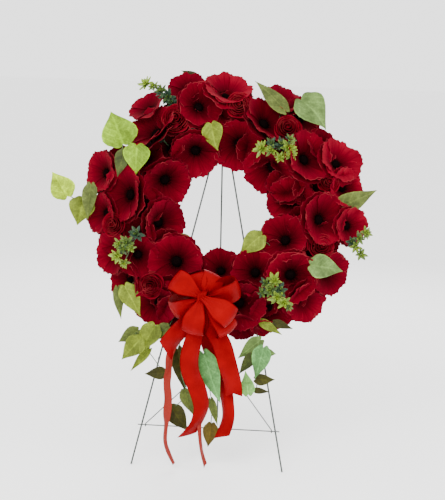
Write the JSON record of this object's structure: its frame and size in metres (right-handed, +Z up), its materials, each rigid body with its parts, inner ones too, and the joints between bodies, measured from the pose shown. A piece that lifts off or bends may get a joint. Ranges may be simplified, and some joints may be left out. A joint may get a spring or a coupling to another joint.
{
  "type": "poppy wreath on folding wire easel",
  "caption": "Memorial wreath of silk poppies, roses and leaves on a ring, with a satin bow and ribbon tails, standing on a folding three-legged wire easel.",
  "frame": {"origin": "on the floor, under the middle of the whole object's box", "axes": "+Z up; the wreath faces -Y and leans back; the back leg stands towards +Y"},
  "size_m": [0.726, 0.4386, 0.866],
  "materials": {
    "wire": "dark green-black paint on drawn wire",
    "moss": "dark green wrapped ring, matt",
    "poppy": "matt dyed polyester silk",
    "rose": "matt dyed polyester silk",
    "leaf": "printed matt fabric leaf",
    "leaf_mint": "printed matt fabric leaf, paler",
    "sprig": "moulded soft plastic",
    "satin": "satin ribbon",
    "sheer": "sheer woven ribbon"
  },
  "bodies": {
    "frame": {"easel_top": "wire", "easel_left": "wire", "easel_right": "wire", "crossbar": "wire", "hook_left": "wire", "hook_right": "wire", "hook_top": "wire", "wreath_ring": "moss", "rose_11": "rose", "rose_8": "rose", "rose_7": "rose", "rose_2": "rose", "rose_4": "rose", "rose_12": "rose", "rose_1": "rose", "poppies_4": "poppy", "poppies_3": "poppy", "poppies_2": "poppy", "poppies_3_inner": "poppy", "poppies_12": "poppy", "poppies_1": "poppy", "poppies_11": "poppy", "poppy_11_inner": "poppy", "poppies_10": "poppy", "poppy_8_inner": "poppy", "poppies_9": "poppy", "poppy_7_inner": "poppy", "poppies_8": "poppy", "poppies_7": "poppy", "poppies_6": "poppy", "poppies_5": "poppy", "spray_left": "leaf", "spray_middle_left": "leaf", "spray_middle": "leaf_mint", "spray_right": "leaf_mint", "leaves_10": "leaf", "leaves_9": "leaf", "leaf_11": "leaf", "leaf_12": "leaf", "leaf_1": "leaf", "leaf_2": "leaf_mint", "leaf_3": "leaf_mint", "leaf_4": "leaf", "leaf_5_inner": "leaf", "leaf_7_inner": "leaf", "leaves_8": "leaf", "leaves_5": "leaf", "sprig_11": "sprig", "sprig_1": "sprig", "sprig_8": "sprig", "sprig_3": "sprig", "sprig_5": "sprig", "bow": "satin", "tail_left": "satin", "tail_middle": "satin", "tail_right": "satin", "tail_behind": "satin", "streamers": "sheer"},
    "back_leg": {"back_leg": "wire"},
    "brace": {"brace": "wire"}
  },
  "joints": [
    {"name": "back_leg_fold", "type": "hinge", "parent": "frame", "child": "back_leg", "pos_m": [0.01534, 0.0381, 0.72136], "axis": [-1, 0, 0], "range_deg": [0, 24.4]},
    {"name": "brace_swing", "type": "hinge", "parent": "frame", "child": "brace", "pos_m": [0.01534, -0.11955, 0.08407], "axis": [1, 0, 0], "range_deg": [0, 55.8]}
  ],
  "couplings": [
    {"joint": "brace_swing", "follows": "back_leg_fold", "ratio": 2.28}
  ]
}
